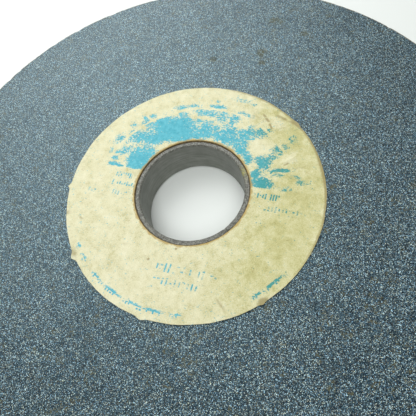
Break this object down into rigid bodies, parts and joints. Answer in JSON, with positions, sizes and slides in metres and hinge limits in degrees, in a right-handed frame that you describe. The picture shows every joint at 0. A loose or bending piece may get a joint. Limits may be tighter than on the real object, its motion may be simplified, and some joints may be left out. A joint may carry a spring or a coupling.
{
  "type": "grinding wheel",
  "caption": "Straight vitrified grinding wheel: flat abrasive disc with a bushed bore and a paper blotter pasted on each face.",
  "frame": {"origin": "centre of the wheel: on the axis of the bore, half way through the thickness", "axes": "+Z along the spin axis, out of the printed front face; +X along the print's lines of text; the wheel lies flat on its rear blotter"},
  "size_m": [0.1778, 0.1778, 0.0136],
  "materials": {
    "abrasive": "matte",
    "bush": "satin",
    "cement": "matte",
    "paste": "matte",
    "printed_paper": "matte",
    "plain_paper": "matte"
  },
  "bodies": {
    "root": {"abrasive_body": "abrasive", "bore_bush": "bush", "bush_cement": "cement", "front_paste_film": "paste", "rear_paste_film": "paste", "front_blotter": "printed_paper", "rear_blotter": "plain_paper"}
  },
  "joints": []
}
